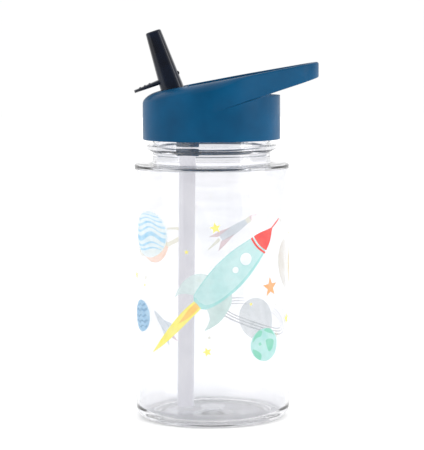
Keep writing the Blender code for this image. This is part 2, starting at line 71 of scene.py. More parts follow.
def linkMesh(name, bm):
    bmesh.ops.remove_doubles(bm, verts=bm.verts, dist=weld["mesh"])
    bmesh.ops.recalc_face_normals(bm, faces=bm.faces)
    mesh = bpy.data.meshes.new(name)
    bm.to_mesh(mesh)
    bm.free()
    made = bpy.data.objects.new(name, mesh)
    scene.collection.objects.link(made)
    return made


def makePiece(made, material, body, sharp=32):
    # scales a millimetre mesh to metres, smooths it and hangs it on a body
    made.data.transform(Matrix.Scale(0.001, 4))
    made.data.shade_smooth()
    made.data.set_sharp_from_angle(angle=radians(sharp))
    made.data.materials.clear()
    made.data.materials.append(material)
    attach(made, body)
    return made


def loft(name, rings, closed=True):
    bm = bmesh.new()
    rows = [[bm.verts.new(point) for point in ring] for ring in rings]
    count = len(rows[0])
    for low, high in zip(rows, rows[1:]):
        for i in range(count):
            j = (i + 1) % count
            bm.faces.new((low[i], low[j], high[j], high[i]))
    if closed:
        bm.faces.new(list(reversed(rows[0])))
        bm.faces.new(rows[-1])
    return linkMesh(name, bm)


def turned(name, profile, steps, centre=(0.0, 0.0)):
    # a solid turned about an upright axis, from (radius, height) points
    bm = bmesh.new()
    rows = []
    for r, z in profile:
        if r < 1e-6:
            rows.append([bm.verts.new((centre[0], centre[1], z))] * steps)
            continue
        turns = [2 * pi * i / steps for i in range(steps)]
        rows.append([bm.verts.new((centre[0] + r * cos(t), centre[1] + r * sin(t), z)) for t in turns])
    if profile[0][0] > 1e-6:
        rows.append(rows[0])
    for low, high in zip(rows, rows[1:]):
        for i in range(steps):
            j = (i + 1) % steps
            corners = []
            for vert in (low[i], low[j], high[j], high[i]):
                if vert not in corners:
                    corners.append(vert)
            if len(corners) > 2:
                bm.faces.new(corners)
    return linkMesh(name, bm)


def rod(name, radius, start, end, steps=48):
    start, end = Vector(start), Vector(end)
    bm = bmesh.new()
    bmesh.ops.create_cone(bm, cap_ends=True, segments=steps, radius1=radius, radius2=radius,
                          depth=(end - start).length)
    turn = (end - start).to_track_quat("Z", "Y").to_matrix().to_4x4()
    bm.transform(Matrix.Translation((start + end) / 2) @ turn)
    return linkMesh(name, bm)


def arcPoints(cx, cz, radius, start, end, steps):
    turns = [radians(start + (end - start) * i / steps) for i in range(steps + 1)]
    return [(cx + radius * cos(t), cz + radius * sin(t)) for t in turns]


def carve(target, jobs):
    # runs the cuts and joins in order, keeps the result as one mesh and drops the tools
    for operation, tool in jobs:
        change = target.modifiers.new(tool.name, "BOOLEAN")
        change.operation = operation
        change.solver = "EXACT"
        change.object = tool
        tool.hide_render = True
    graph = bpy.context.evaluated_depsgraph_get()
    graph.update()
    solid = bpy.data.meshes.new_from_object(target.evaluated_get(graph))
    target.modifiers.clear()
    target.data = solid
    for operation, tool in jobs:
        bpy.data.objects.remove(tool, do_unlink=True)
    bm = bmesh.new()
    bm.from_mesh(solid)
    bmesh.ops.remove_doubles(bm, verts=bm.verts, dist=weld["cut"])
    bmesh.ops.dissolve_degenerate(bm, edges=bm.edges, dist=weld["sliver"])
    bm.to_mesh(solid)
    bm.free()
    return target


sunk = 0.3          # how deep a joined piece starts inside the one that carries it
thread = {"pitch": 4.0, "turns": 1.5, "steps": 180, "rootHalf": 1.05, "narrow": 0.6, "flank": 0.06,
          "edge": 0.15, "edgeHeight": 0.2, "leadStart": 0.15, "leadStep": 0.07}


def helixRidge(name, root, crest, startZ):
    # one turn and a half of screw ridge that fades out at both ends
    rings = []
    steps = thread["steps"]
    rootHalf, edge, flat = thread["rootHalf"], thread["edge"], thread["edgeHeight"]
    for i in range(steps + 1):
        turn = 2 * pi * thread["turns"] * i / steps
        z = startZ + thread["pitch"] * thread["turns"] * i / steps
        rise = min(1.0, thread["leadStart"] + thread["leadStep"] * min(i, steps - i))
        tip = root + (crest - root) * rise
        half = rootHalf - thread["narrow"] * rise
        flank = half + thread["flank"]
        section = [(root, z - rootHalf), (tip - edge, z - flank), (tip, z - half + flat),
                   (tip, z + half - flat), (tip - edge, z + flank), (root, z + rootHalf)]
        rings.append([(r * cos(turn), r * sin(turn), h) for r, h in section])
    return loft(name, rings)


# materials

def linear(code):
    values = [int(code[i:i + 2], 16) / 255 for i in (1, 3, 5)]
    return tuple(v / 12.92 if v <= 0.04045 else ((v + 0.055) / 1.055) ** 2.4 for v in values)


def mapRange(tree, value, low, high, toLow, toHigh, easing="LINEAR"):
    step = tree.nodes.new("ShaderNodeMapRange")
    step.interpolation_type = easing
    for socket, number in zip(("From Min", "From Max", "To Min", "To Max"), (low, high, toLow, toHigh)):
        step.inputs[socket].default_value = number
    tree.links.new(value, step.inputs["Value"])
    return step.outputs["Result"]


# the parts of a noise's range that count as its middle, its whole spread and its rubbed spots,
# and how much finer than the colour's patches the gloss and the thinness vary
noiseSpan = {"middle": (0.35, 0.65), "spread": (0.3, 0.7), "rubbed": (0.58, 0.72)}
finer = {"gloss": 2.3, "thinness": 1.7}
paintedGlowCost = 1.2      # what a piece with painted light loses of its surface colour, as a share of its painted glow


def paint(name, look):
    # A plastic, rubber or ink: colour that drifts between two shades, gloss that varies in patches,
    # a fine grain, and faint rubbed streaks where hands and washing have dulled it.
    made = bpy.data.materials.new(name)
    made.use_nodes = True
    tree = made.node_tree
    nodes = tree.nodes
    join = tree.links.new
    shader = nodes["Principled BSDF"]
    place = nodes.new("ShaderNodeTexCoord").outputs["Object"]

    def noise(scale, detail=3.0, stretch=None):
        source = place
        if stretch:
            squeeze = nodes.new("ShaderNodeMapping")
            squeeze.inputs["Scale"].default_value = stretch
            join(place, squeeze.inputs["Vector"])
            source = squeeze.outputs["Vector"]
        grain = nodes.new("ShaderNodeTexNoise")
        grain.inputs["Scale"].default_value = scale
        grain.inputs["Detail"].default_value = detail
        join(source, grain.inputs["Vector"])
        return grain.outputs["Fac"]

    def mixColor(share, first, second):
        mix = nodes.new("ShaderNodeMix")
        mix.data_type = "RGBA"
        join(share, mix.inputs["Factor"])
        for socket, value in ((mix.inputs["A"], first), (mix.inputs["B"], second)):
            if isinstance(value, tuple):
                socket.default_value = (*value, 1.0)
            else:
                join(value, socket)
        return mix.outputs["Result"]

    paintedGlow = look.get("paintedGlow", 0.0)
    drift = mapRange(tree, noise(look["patch"]), *noiseSpan["middle"], 0.0, 1.0)
    rubs = noise(look["streak"], 4.0, look.get("stretch", (1.0, 1.0, 0.15)))
    streaks = mapRange(tree, rubs, *noiseSpan["rubbed"], 0.0, 1.0)
    wear = mapRange(tree, streaks, 0.0, 1.0, 0.0, look.get("wear", 0.08))

    def shades(share):
        dark, light, worn = (tuple(v * share for v in linear(code))
                             for code in (look["dark"], look["light"], look.get("worn", look["light"])))
        return mixColor(wear, mixColor(drift, dark, light), worn)

    join(shades(1 - paintedGlowCost * paintedGlow), shader.inputs["Base Color"])
    if paintedGlow:
        # painted light: these pieces glow with their own colour, which brightens them beyond what the lamps
        # give them
        join(shades(1.0), shader.inputs["Emission Color"])
        shader.inputs["Emission Strength"].default_value = paintedGlow
    gloss = nodes.new("ShaderNodeMath")
    gloss.operation = "ADD"
    patches = noise(look["patch"] * finer["gloss"])
    join(mapRange(tree, patches, *noiseSpan["spread"], *look["roughness"]), gloss.inputs[0])
    join(mapRange(tree, streaks, 0.0, 1.0, 0.0, look.get("dull", 0.05)), gloss.inputs[1])
    join(gloss.outputs["Value"], shader.inputs["Roughness"])
    if look.get("grain"):
        scale, strength, depth = look["grain"]
        bump = nodes.new("ShaderNodeBump")
        bump.inputs["Strength"].default_value = strength
        bump.inputs["Distance"].default_value = depth * 0.001
        join(noise(scale, 5.0), bump.inputs["Height"])
        join(bump.outputs["Normal"], shader.inputs["Normal"])
    if look.get("alpha"):
        washes = noise(look["patch"] * finer["thinness"], 4.0)
        join(mapRange(tree, washes, *noiseSpan["spread"], *look["alpha"]), shader.inputs["Alpha"])
    for socket, value in look.get("plain", {}).items():
        shader.inputs[socket].default_value = value
    return made


# camera, looking a little down from the height of the lid, and how often light may bounce in clear walls
view = {"lens": 155.2, "sensor": 36.0, "place": (0.0, -0.880, 0.171), "down": 5.42, "roll": -0.3,
        "near": 0.01}
camera = bpy.data.objects.new("camera", bpy.data.cameras.new("camera"))
camera.data.lens = view["lens"]
camera.data.sensor_width = view["sensor"]
camera.data.clip_start = view["near"]
camera.location = view["place"]
tilt = Matrix.Rotation(radians(90 - view["down"]), 4, "X")
roll = Matrix.Rotation(radians(view["roll"]), 4, "Z")
camera.rotation_euler = (tilt @ roll).to_euler()
scene.collection.objects.link(camera)
scene.camera = camera
scene.view_settings.view_transform = "Standard"
scene.cycles.max_bounces = 24
scene.cycles.glossy_bounces = 16
scene.cycles.transmission_bounces = 24
scene.cycles.transparent_max_bounces = 16


# room: bright all round, with one dim patch behind the camera
room = {"bright": 1.01, "dim": 0.3, "top": 1.2, "patch": (-0.94, -0.70), "ceiling": (0.45, 0.9)}
white = (1.0, 1.0, 1.0, 1.0)
softboxes = {
    "light_left": {"place": (-0.95, -0.55, 0.40), "size": (0.75, 0.95), "power": 1.5},
    "light_right": {"place": (1.05, -0.35, 0.35), "size": (0.50, 0.90), "power": 5.0},
    "light_top": {"place": (0.0, -0.35, 1.15), "size": (0.9, 0.6), "power": 1.0},
}
aimAt = Vector((0.0, 0.0, 0.09))


def makeRoom():
    world = bpy.data.worlds.new("room")
    world.use_nodes = True
    scene.world = world
    tree = world.node_tree
    nodes = tree.nodes
    join = tree.links.new
    split = nodes.new("ShaderNodeSeparateXYZ")
    join(nodes.new("ShaderNodeTexCoord").outputs["Generated"], split.inputs[0])
    walls = mapRange(tree, split.outputs["Y"], *room["patch"], room["dim"], room["bright"], "SMOOTHSTEP")
    ceiling = mapRange(tree, split.outputs["Z"], *room["ceiling"], 0.0, room["top"], "SMOOTHSTEP")
    strength = nodes.new("ShaderNodeMath")
    strength.operation = "MAXIMUM"
    join(walls, strength.inputs[0])
    join(ceiling, strength.inputs[1])
    join(strength.outputs["Value"], nodes["Background"].inputs["Strength"])
    nodes["Background"].inputs["Color"].default_value = white


def softbox(name, place, size, power):
    light = bpy.data.lights.new(name, "AREA")
    light.shape = "RECTANGLE"
    light.size, light.size_y = size
    light.energy = power
    made = bpy.data.objects.new(name, light)
    made.location = place
    made.rotation_euler = (aimAt - Vector(place)).to_track_quat("-Z", "Y").to_euler()
    scene.collection.objects.link(made)


makeRoom()
for name, box in softboxes.items():
    softbox(name, **box)

# floor, in metres as the camera and lights are: a plain pale sheet just under the foot
floorSize = {"side": 4.0, "front": -6.0, "back": 3.5, "height": -0.00002}
floorLook = {"dark": "#f4f4f4", "light": "#ffffff", "patch": 6.0, "streak": 9.0, "roughness": (0.75, 0.9),
             "grain": (400.0, 0.05, 0.1), "wear": 0.02,
             "plain": {"Emission Strength": 0.25, "Emission Color": white, "Specular IOR Level": 0.15}}
side, front, back = floorSize["side"], floorSize["front"], floorSize["back"]
bm = bmesh.new()
corners = [(-side, front), (side, front), (side, back), (-side, back)]
bm.faces.new([bm.verts.new((x, y, floorSize["height"])) for x, y in corners])
floor = linkMesh("floor", bm)
floor.data.materials.append(paint("floor", floorLook))
print("scene: camera, room and lights")


# bottle: clear wall turned in one piece, with the screw ridge on its neck

bottle = {"wall": 1.2, "floor": 1.5, "recess": 0.8, "foot": 3.2, "corner": 5.5, "rim": 0.8, "inRim": 0.9,
          "rise": 0.5, "neck": 26.8, "neckWall": 1.7, "neckRound": 0.7, "fillet": 1.3, "gate": 1.0,
          "threadHeight": 14.4, "threadDepth": 1.7}
bead = {"rise": 2.5, "foot": 5.1, "slope": 5.4, "under": 7.0, "over": 8.2, "top": 8.9,
        "edge": 0.4, "root": 0.3}


def footProfile(footIn):
    # underside, from the middle out to the ring that the bottle stands on
    recess = bottle["recess"]
    line = [(0.0, recess), (4.0, recess), (footIn - 5.0, recess), (footIn - 1.6, 0.7), (footIn - 0.5, 0.25)]
    return line + [(footIn + 0.3, 0.03), (footIn + 1.0, 0.0)]


def beadProfile(neck):
    # the bead's underside slopes, its top is flat
    out, edge, root = neck + bead["rise"] - bead["edge"], bead["edge"], bead["root"]
    line = [(neck, shoulderZ + bead["foot"]), (neck + 0.1, shoulderZ + bead["slope"])]
    line += arcPoints(out, shoulderZ + bead["under"], edge, -40, 0, 4)
    line += arcPoints(out, shoulderZ + bead["over"], edge, 0, 90, 6)
    return line + arcPoints(neck + root, shoulderZ + bead["top"], root, 270, 180, 3)


def gateProfile(floorZ):
    # inside floor, in to the small moulding mark at its middle
    line = [(20.0, floorZ), (5.0, floorZ), (4.2, floorZ + 0.1), (3.4, floorZ + 0.55), (2.4, floorZ + 0.85)]
    return line + [(1.2, floorZ + 0.98), (0.0, floorZ + bottle["gate"])]


def bottleProfile():
    corner, rim, inRim = bottle["corner"], bottle["rim"], bottle["inRim"]
    neck, fillet, neckRound = bottle["neck"], bottle["fillet"], bottle["neckRound"]
    footOut = bodyRadius - corner
    inside = bodyRadius - bottle["wall"]
    innerCorner = corner - bottle["wall"]
    bore = neck - bottle["neckWall"]
    floorZ = bottle["recess"] + bottle["floor"]
    underZ = shoulderZ - bottle["wall"]
    throatZ = shoulderZ + bottle["rise"]
    line = footProfile(footOut - bottle["foot"])
    line += arcPoints(footOut, corner, corner, -90, 0, 16)
    line += arcPoints(bodyRadius - rim, shoulderZ - rim, rim, 0, 90, 12)
    line += arcPoints(neck + fillet, throatZ + fillet, fillet, 270, 180, 9)
    line += beadProfile(neck)
    line += arcPoints(neck - neckRound, neckTop - neckRound, neckRound, 0, 90, 6)
    line += arcPoints(bore + neckRound, neckTop - neckRound, neckRound, 90, 180, 6)
    line += [(bore, throatZ + 0.8), (bore + 0.25, throatZ - 0.4), (bore + 0.9, throatZ - 1.5)]
    line += [(bore + 2.2, underZ)]
    line += arcPoints(inside - inRim, underZ - inRim, inRim, 90, 0, 9)
    line += arcPoints(inside - innerCorner, floorZ + innerCorner, innerCorner, 0, -90, 12)
    return line + gateProfile(floorZ)


clearLook = {"dark": "#edeef1", "light": "#f4f4f6", "patch": 30.0, "streak": 40.0,
             "stretch": (1.0, 1.0, 0.2), "roughness": (0.0, 0.012), "dull": 0.015, "wear": 0.02,
             "plain": {"Transmission Weight": 1.0, "IOR": 1.5}}
body = turned("bottle_clear", bottleProfile(), 256)
ridge = helixRidge("neck_ridge", bottle["neck"] - sunk, bottle["neck"] + bottle["threadDepth"],
                   shoulderZ + bottle["threadHeight"])
makePiece(carve(body, [("UNION", ridge)]), paint("clear_plastic", clearLook), "bottle", 28)
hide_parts("bottle_body")
print("scene: bottle")


# lid: round cap that runs out into the carry loop under one sloping top

lid = {"bore": 29.0, "wall": 2.1, "topHeight": 26.15, "slope": 0.179, "crownDrop": 4.3, "crownWidth": 8.6,
       "rim": 9.2, "saddle": 4.3, "corner": 4.0, "reach": 2.0, "loopEnd": 15.5, "loopWall": 3.5,
       "loopRound": 1.2, "underHeight": 12.8, "underSlope": 0.305, "underFillet": 0.9, "underRound": 0.7,
       "edge": 0.35, "rimEdge": 0.5, "core": 2.2, "coreGap": 0.6, "coreStart": 66, "trough": 2.2,
       "troughReach": 23.6, "troughLow": 4.4, "ceiling": 1.8,
       "deck": 2.0, "ridge": 1.6, "threadHeight": 12.4}
hinge = {"x": -15.7, "drop": 6.44, "lean": 18.2, "slot": 5.75, "slotHalf": 7.35, "side": 1.9,
         "socket": 2.55, "deck": 5.2}
boss = {"radius": 5.25, "drop": 4.9, "edge": 0.6, "under": 0.9, "collar": 7.3, "collarLift": 1.87,
        "collarUnder": 0.5}
holes = {"seal": 3.9, "sealHigh": 2, "sealDeep": 3.7, "straw": 4.05, "strawTop": 5.9, "vent": 1.4,
         "ventX": -2, "ventY": 14}
recessCut = {"wall": 1.8, "step": 0.4, "flare": 0.83}
tube = {"radius": 3.75, "bore": 3.05, "chamfer": 0.12, "clear": 0.02, "lift": 0.08}
past = 5            # how far a cutter runs out of the piece it cuts
lidRadius = lid["bore"] + lid["wall"]
loopX = lidRadius + lid["reach"]
ceilingZ = neckTop + lid["ceiling"]
deckZ = ceilingZ + lid["deck"]
saddleZ = deckZ + lid["saddle"]
pivotX = hinge["x"]
recessX = pivotX + hinge["deck"]
slotRadius = hinge["slot"]
slotHalf = hinge["slotHalf"]
lean = radians(hinge["lean"])
quarterTurns = [radians(t) for t in (0, 30, 60, 90)]
strawX = strawHigh.x - tube["radius"]
strawTop = strawHigh.z


def topZ(x):
    return skirtZ + lid["topHeight"] + lid["slope"] * x


def underZ(x):
    return skirtZ + lid["underHeight"] + lid["underSlope"] * x


pivotZ = topZ(pivotX) - hinge["drop"]


def towardLoop(x):
    # 0 over the spout's half of the lid, and up to 1 where the loop begins
    t = min(1.0, max(0.0, x / (0.65 * lidRadius)))
    return t * t * (3 - 2 * t)


def onCircle(turn, radius=1.0, centreX=0.0):
    return Vector((centreX + radius * cos(turn), radius * sin(turn)))


def lidStations(arcSteps, loopSteps):
    # seen from above: (point of the outline, outward normal, point of the round skirt)
    tangent = pi / 2 - asin((lidRadius - lid["loopEnd"]) / loopX)
    stations = []
    for i in range(arcSteps):
        turn = tangent + (2 * pi - 2 * tangent) * i / arcSteps
        stations.append((onCircle(turn, lidRadius), onCircle(turn), onCircle(turn, lidRadius)))
    straight = loopX * sin(tangent)
    bend = lid["loopEnd"] * 2 * tangent
    for i in range(loopSteps):
        skirt = onCircle(-tangent + 2 * tangent * i / loopSteps, lidRadius)
        along = (2 * straight + bend) * i / loopSteps
        turn = -tangent + 2 * tangent * min(1.0, max(0.0, (along - straight) / bend))
        leftOver = max(0.0, straight - along, along - straight - bend) / straight
        point = onCircle(turn, lid["loopEnd"], loopX).lerp(onCircle(turn, lidRadius), leftOver)
        stations.append((point, onCircle(turn), skirt))
    return stations


def skirtRows(stations):
    # rounded lower edge of the round skirt
    edge = lid["edge"]
    rows = []
    for t in quarterTurns:
        rows.append([(*(skirt * (1 - edge * (1 - sin(t)) / lidRadius)), skirtZ + edge * (1 - cos(t)))
                     for point, normal, skirt in stations])
    return rows


def loopUnderRows(stations):
    # the hollow where the loop grows out of the skirt, then the rounded edge of the loop's underside
    rows = []
    for t in quarterTurns:
        row = []
        for point, normal, skirt in stations:
            out = point - skirt
            size = min(lid["underFillet"], out.length)
            reach = size / out.length if out.length > 1e-6 else 0.0
            place = skirt + out * reach * (1 - cos(t))
            row.append((*place, underZ(place.x) - size * (1 - sin(t))))
        rows.append(row)
    for t in quarterTurns:
        row = []
        for point, normal, skirt in stations:
            size = lid["underRound"] * towardLoop(point.x)
            place = point - normal * size * (1 - sin(t))
            row.append((*place, underZ(point.x) + size * (1 - cos(t))))
        rows.append(row)
    return rows


def crownRows(stations, steps=14):
    # over the rounded crown, which sharpens towards the loop
    rows = []
    for k in range(steps + 1):
        rise = pi / 2 * k / steps
        row = []
        for point, normal, skirt in stations:
            share = towardLoop(point.x)
            drop = lid["crownDrop"] + (lid["loopRound"] - lid["crownDrop"]) * share
            width = lid["crownWidth"] + (lid["loopRound"] - lid["crownWidth"]) * share
            place = point - normal * width * (1 - cos(rise))
            row.append((*place, topZ(place.x) - drop * (1 - sin(rise))))
        rows.append(row)
    return rows


def lidOuter(stations):
    return loft("lid_shell_fine", skirtRows(stations) + loopUnderRows(stations) + crownRows(stations))


def recessTool(stations):
    # room above the deck and inside the loop, flared at the top so that the rim's inner edge is rounded
    kept = []
    for point, normal, skirt in stations:
        width = lid["rim"] + (lid["loopWall"] - lid["rim"]) * towardLoop(point.x)
        place = point - normal * width
        if place.x > recessX + lid["corner"]:
            kept.append((place, normal))
    split = next(i for i in range(len(kept)) if kept[i][0].y < 0 <= kept[i - 1][0].y)
    kept = kept[split:] + kept[:split]
    corner = lid["corner"]
    side = kept[-1][0].y - corner
    for flip in (1, -1):
        turns = [radians(15 + 75 * i / 8) for i in range(9)]
        for t in turns if flip == 1 else reversed(turns):
            normal = Vector((-sin(t), flip * cos(t)))
            place = Vector((recessX + corner, flip * side)) + normal * corner
            kept.append((place, normal))
    deepLimit = lid["bore"] - recessCut["wall"]
    edge = lid["rimEdge"]
    rows = []
    for z in (deckZ, saddleZ):
        row = []
        for place, normal in kept:
            deep = place * min(1.0, deepLimit / place.length)
            row.append((*(deep * (1 - recessCut["step"] / deep.length)), z))
        rows.append(row)
    rows.append([(*place, saddleZ) for place, normal in kept])
    for t in (0, 20, 40, 60, 80):
        t = radians(t)
        row = []
        for place, normal in kept:
            spot = place + normal * edge * (1 - cos(t))
            row.append((*spot, topZ(spot.x) - edge * (1 - sin(t))))
        rows.append(row)
    flare = edge * recessCut["flare"]
    rows.append([(*(place + normal * flare), lidHigh.z + past) for place, normal in kept])
    return loft("recess", rows)


def spoutPoint(along, across):
    # a point of the leaning spout: how far up it from the hinge, and how far towards the loop
    return (pivotX - along * sin(lean) + across * cos(lean), pivotZ + along * cos(lean) + across * sin(lean))


def pivotRod(name, radius, half, steps=64):
    return rod(name, radius, (pivotX, -half, pivotZ), (pivotX, half, pivotZ), steps)


def prismY(name, outline, half):
    return loft(name, [[(x, y, z) for x, z in outline] for y in (-half, half)])


def troughOutline(radius, top):
    slope = atan(lid["slope"])
    curve = arcPoints(pivotX, pivotZ, radius, 180 + degrees(lean), 270 + degrees(slope), 24)
    up = (top - curve[0][1]) / cos(lean)
    out = (top - curve[-1][1]) / sin(slope)
    return [(curve[0][0] - up * sin(lean), top)] + curve + [(curve[-1][0] + out * cos(slope), top)]


def slotTool(name):
    outline = troughOutline(slotRadius, deckZ + sunk)
    left = troughOutline(slotRadius, topZ(0.0) + past)[0]
    outline = [left] + outline[1:] + [(recessX + 2, deckZ + sunk), (recessX + 2, left[1])]
    return prismY(name, outline, slotHalf)


def crownCore():
    # the crown is hollow above the neck, all but the sector under the loop
    rows = []
    inner, outer = bottle["neck"] + lid["coreGap"], lid["bore"] - sunk
    start, sweep = lid["coreStart"], 360 - 2 * lid["coreStart"]
    for low, radius in ((True, inner), (True, outer), (False, outer), (False, inner)):
        row = []
        for i in range(81):
            turn = radians(start + sweep * i / 80)
            x, y = radius * cos(turn), radius * sin(turn)
            row.append((x, y, ceilingZ - 1 if low else topZ(x) - lid["core"] - lid["crownDrop"] / 4))
        rows.append(row)
    return loft("crown_core", [list(ring) for ring in zip(*rows)])


def strawBoss(low):
    radius, edge = boss["radius"], boss["edge"]
    high = pivotZ - slotRadius - boss["under"]
    line = [(0.0, high), (radius, high)]
    line += arcPoints(radius - edge, low + edge, edge, 0, -90, 8)
    return turned("boss", line + [(0.0, low)], 64, (strawX, 0.0))


def makeLid(material):
    stations = lidStations(150, 90)
    shell = lidOuter(stations)
    side = slotHalf + hinge["side"]
    trough = prismY("trough", troughOutline(slotRadius + lid["trough"], deckZ - 1), side)
    limit = rod("trough_limit", lid["troughReach"], (0, 0, skirtZ - lid["troughLow"]), (0, 0, deckZ), 96)
    carve(trough, [("INTERSECT", limit)])
    collarX = (spoutPoint(-slotRadius, 0)[0] + strawX) / 2
    collarLow, collarHigh = strawTop + boss["collarLift"], pivotZ - slotRadius - boss["collarUnder"]
    bossZ = skirtZ - boss["drop"]
    ventX, ventY = holes["ventX"], holes["ventY"]
    sealTopX, sealTopZ = spoutPoint(-slotRadius + holes["sealHigh"], 0)
    sealLowX, sealLowZ = spoutPoint(-slotRadius - holes["sealDeep"], 0)
    jobs = [
        ("DIFFERENCE", rod("cavity", lid["bore"], (0, 0, skirtZ - past), (0, 0, ceilingZ), 192)),
        ("DIFFERENCE", crownCore()),
        ("DIFFERENCE", recessTool(stations)),
        ("UNION", trough),
        ("UNION", rod("collar", boss["collar"], (collarX, 0, collarLow), (collarX, 0, collarHigh))),
        ("UNION", strawBoss(bossZ)),
        ("DIFFERENCE", slotTool("spout_slot")),
        ("DIFFERENCE", pivotRod("hinge_sockets", hinge["socket"], side, 40)),
        ("UNION", helixRidge("lid_ridge", lid["bore"] + sunk, lid["bore"] - lid["ridge"],
                             shoulderZ + lid["threadHeight"])),
        ("DIFFERENCE", rod("seal_pocket", holes["seal"], (sealLowX, 0, sealLowZ), (sealTopX, 0, sealTopZ))),
        ("DIFFERENCE", rod("straw_hole", holes["straw"], (strawX, 0, bossZ - past),
                           (strawX, 0, strawTop + holes["strawTop"]))),
        ("DIFFERENCE", rod("vent_hole", holes["vent"], (ventX, ventY, ceilingZ - past),
                           (ventX, ventY, deckZ + past), 32)),
    ]
    carve(shell, jobs)
    makePiece(shell, material, "lid", 30)
    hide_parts("lid_shell")


lidLook = {"dark": "#003f62", "light": "#004b72", "patch": 45.0, "streak": 120.0,
           "stretch": (1.0, 1.0, 0.12), "roughness": (0.32, 0.42), "dull": 0.10, "wear": 0.06,
           "worn": "#2f5b7b", "grain": (1500.0, 0.10, 0.05), "plain": {"Specular IOR Level": 0.1}}
makeLid(paint("lid_plastic", lidLook))
print("scene: lid")


# spout: barrel between its trunnions, tapering stem, ribbed thumb tab and a rest nub

spout = {"length": 33.6, "barrel": 5.4, "half": 7.0, "bore": 1.9, "pin": 2.2, "pinHalf": 1.6}
stem = {"thick": 5.28, "wide": 6.85, "straight": 7.0, "topThick": 3.55, "topWide": 5.2, "round": 0.8}
tab = {"reach": 16.6, "wide": 5.4, "thick": 2.8, "thin": 1.5, "height": 11.2, "drop": 0.8, "rib": 0.3,
       "pitch": 2.3, "ribs": (7.9, 9.0, 14.7), "tip": 0.72}
nub = {"radius": 1.1, "half": 2.2, "height": 12.3}


def roundedSection(halfA, halfB, steps, power=3.4):
    # an oblong with round corners, fuller the higher the power
    points = []
    for i in range(steps):
        turn = 2 * pi * (i + 0.5) / steps
        a = abs(cos(turn)) ** (2 / power) * (1 if cos(turn) > 0 else -1)
        b = abs(sin(turn)) ** (2 / power) * (1 if sin(turn) > 0 else -1)
        points.append((halfA * a, halfB * b))
    return points


def spoutStem():
    rings = []
    steps = 26
    length, edge = spout["length"], stem["round"]
    straight = stem["straight"] / length
    for i in range(steps + 1):
        share = 0.975 * i / steps
        narrow = max(0.0, share - straight) / (1 - straight)
        thick = stem["thick"] + (stem["topThick"] - stem["thick"]) * narrow
        wide = stem["wide"] + (stem["topWide"] - stem["wide"]) * narrow
        rings.append((length * share, thick, wide))
    last = rings[-1]
    for t in (20, 40, 60, 75, 90):
        inset = edge * (1 - cos(radians(t)))
        rings.append((length - 1.05 * edge * (1 - sin(radians(t))), last[1] - inset, last[2] - inset))
    loops = []
    for along, thick, wide in rings:
        places = [(spoutPoint(along, across), y) for across, y in roundedSection(thick, wide, 72)]
        loops.append([(x, y, z) for (x, z), y in places])
    return loft("spout_stem", loops)


def tabRib(reach):
    # height of the grip ribs at this distance from the stem's middle line
    first, crest, last = tab["ribs"]
    if not first < reach < last:
        return 0.0
    return max(0.0, cos(2 * pi * (reach - crest) / tab["pitch"])) * tab["rib"]


def thumbTab():
    rings = []
    steps = 110
    tip = tab["tip"]
    for i in range(steps + 1):
        share = 0.15 + 0.85 * i / steps
        reach = tab["reach"] * share
        wide = tab["wide"]
        if share > tip:
            wide *= 0.42 + 0.58 * sqrt(max(0.0, 1 - ((share - tip) / (1 - tip)) ** 2.2))
        half = (tab["thick"] - (tab["thick"] - tab["thin"]) * share) / 2
        ring = []
        for rise, y in roundedSection(half, wide, 40, 3.0):
            if rise > 0:
                rise += tabRib(reach) * min(1.0, max(0.0, (wide * 0.86 - abs(y)) / 0.7))
            x, z = spoutPoint(tab["height"] - tab["drop"] * share + rise, -reach)
            ring.append((x, y, z))
        rings.append(ring)
    return loft("thumb_tab", rings)


def makeSpout(material):
    piece = pivotRod("spout_fine", spout["barrel"], spout["half"], 96)
    x, z = spoutPoint(nub["height"], spout["barrel"] - nub["radius"])
    lowX, lowZ = spoutPoint(-spout["barrel"] - past, 0)
    highX, highZ = spoutPoint(spout["length"] + past, 0)
    jobs = [
        ("UNION", spoutStem()),
        ("UNION", thumbTab()),
        ("UNION", pivotRod("trunnions", spout["pin"], slotHalf + spout["pinHalf"], 40)),
        ("UNION", rod("rest_nub", nub["radius"], (x, -nub["half"], z), (x, nub["half"], z), 32)),
        ("DIFFERENCE", rod("spout_bore", spout["bore"], (lowX, 0, lowZ), (highX, 0, highZ), 40)),
    ]
    carve(piece, jobs)
    makePiece(piece, material, "spout", 30)
    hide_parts("spout")


spoutLook = {"dark": "#0b0d16", "light": "#101c30", "patch": 60.0, "streak": 160.0,
             "stretch": (1.0, 1.0, 0.1), "roughness": (0.10, 0.18), "dull": 0.08, "wear": 0.05,
             "worn": "#3a4a66", "grain": (2500.0, 0.04, 0.03), "plain": {"Specular IOR Level": 0.3}}
makeSpout(paint("spout_plastic", spoutLook))
print("scene: spout")


# straw: thin pale tube from the seal to just above the floor

def makeStraw(material):
    radius, bore, chamfer = tube["radius"], tube["bore"], tube["chamfer"]
    top = Vector((strawX, 0.0, strawTop - tube["clear"]))
    foot = Vector((strawLow.x + radius, 0.0, strawLow.z + tube["lift"]))
    length = (top - foot).length
    lineOf = (top - foot).normalized()
    across = lineOf.cross(Vector((0, 1, 0))).normalized()
    levels = [0.0, chamfer, 0.3] + [1.0 + i * (length - 2) / 30 for i in range(31)]
    levels += [length - 0.3, length - chamfer, length]

    def ring(size, level):
        centre = foot + lineOf * level
        turns = [2 * pi * i / 64 for i in range(64)]
        return [tuple(centre + across * size * cos(t) + Vector((0, 1, 0)) * size * sin(t)) for t in turns]

    def isEnd(level):
        return level in (levels[0], levels[-1])

    rings = [ring(radius - (chamfer if isEnd(level) else 0.0), level) for level in levels]
    rings += [ring(bore + (chamfer if isEnd(level) else 0.0), level) for level in reversed(levels)]
    rings.append(rings[0])
    straw = loft("straw_tube", rings, closed=False)
    makePiece(straw, material, "lid", 40)
    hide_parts("straw")
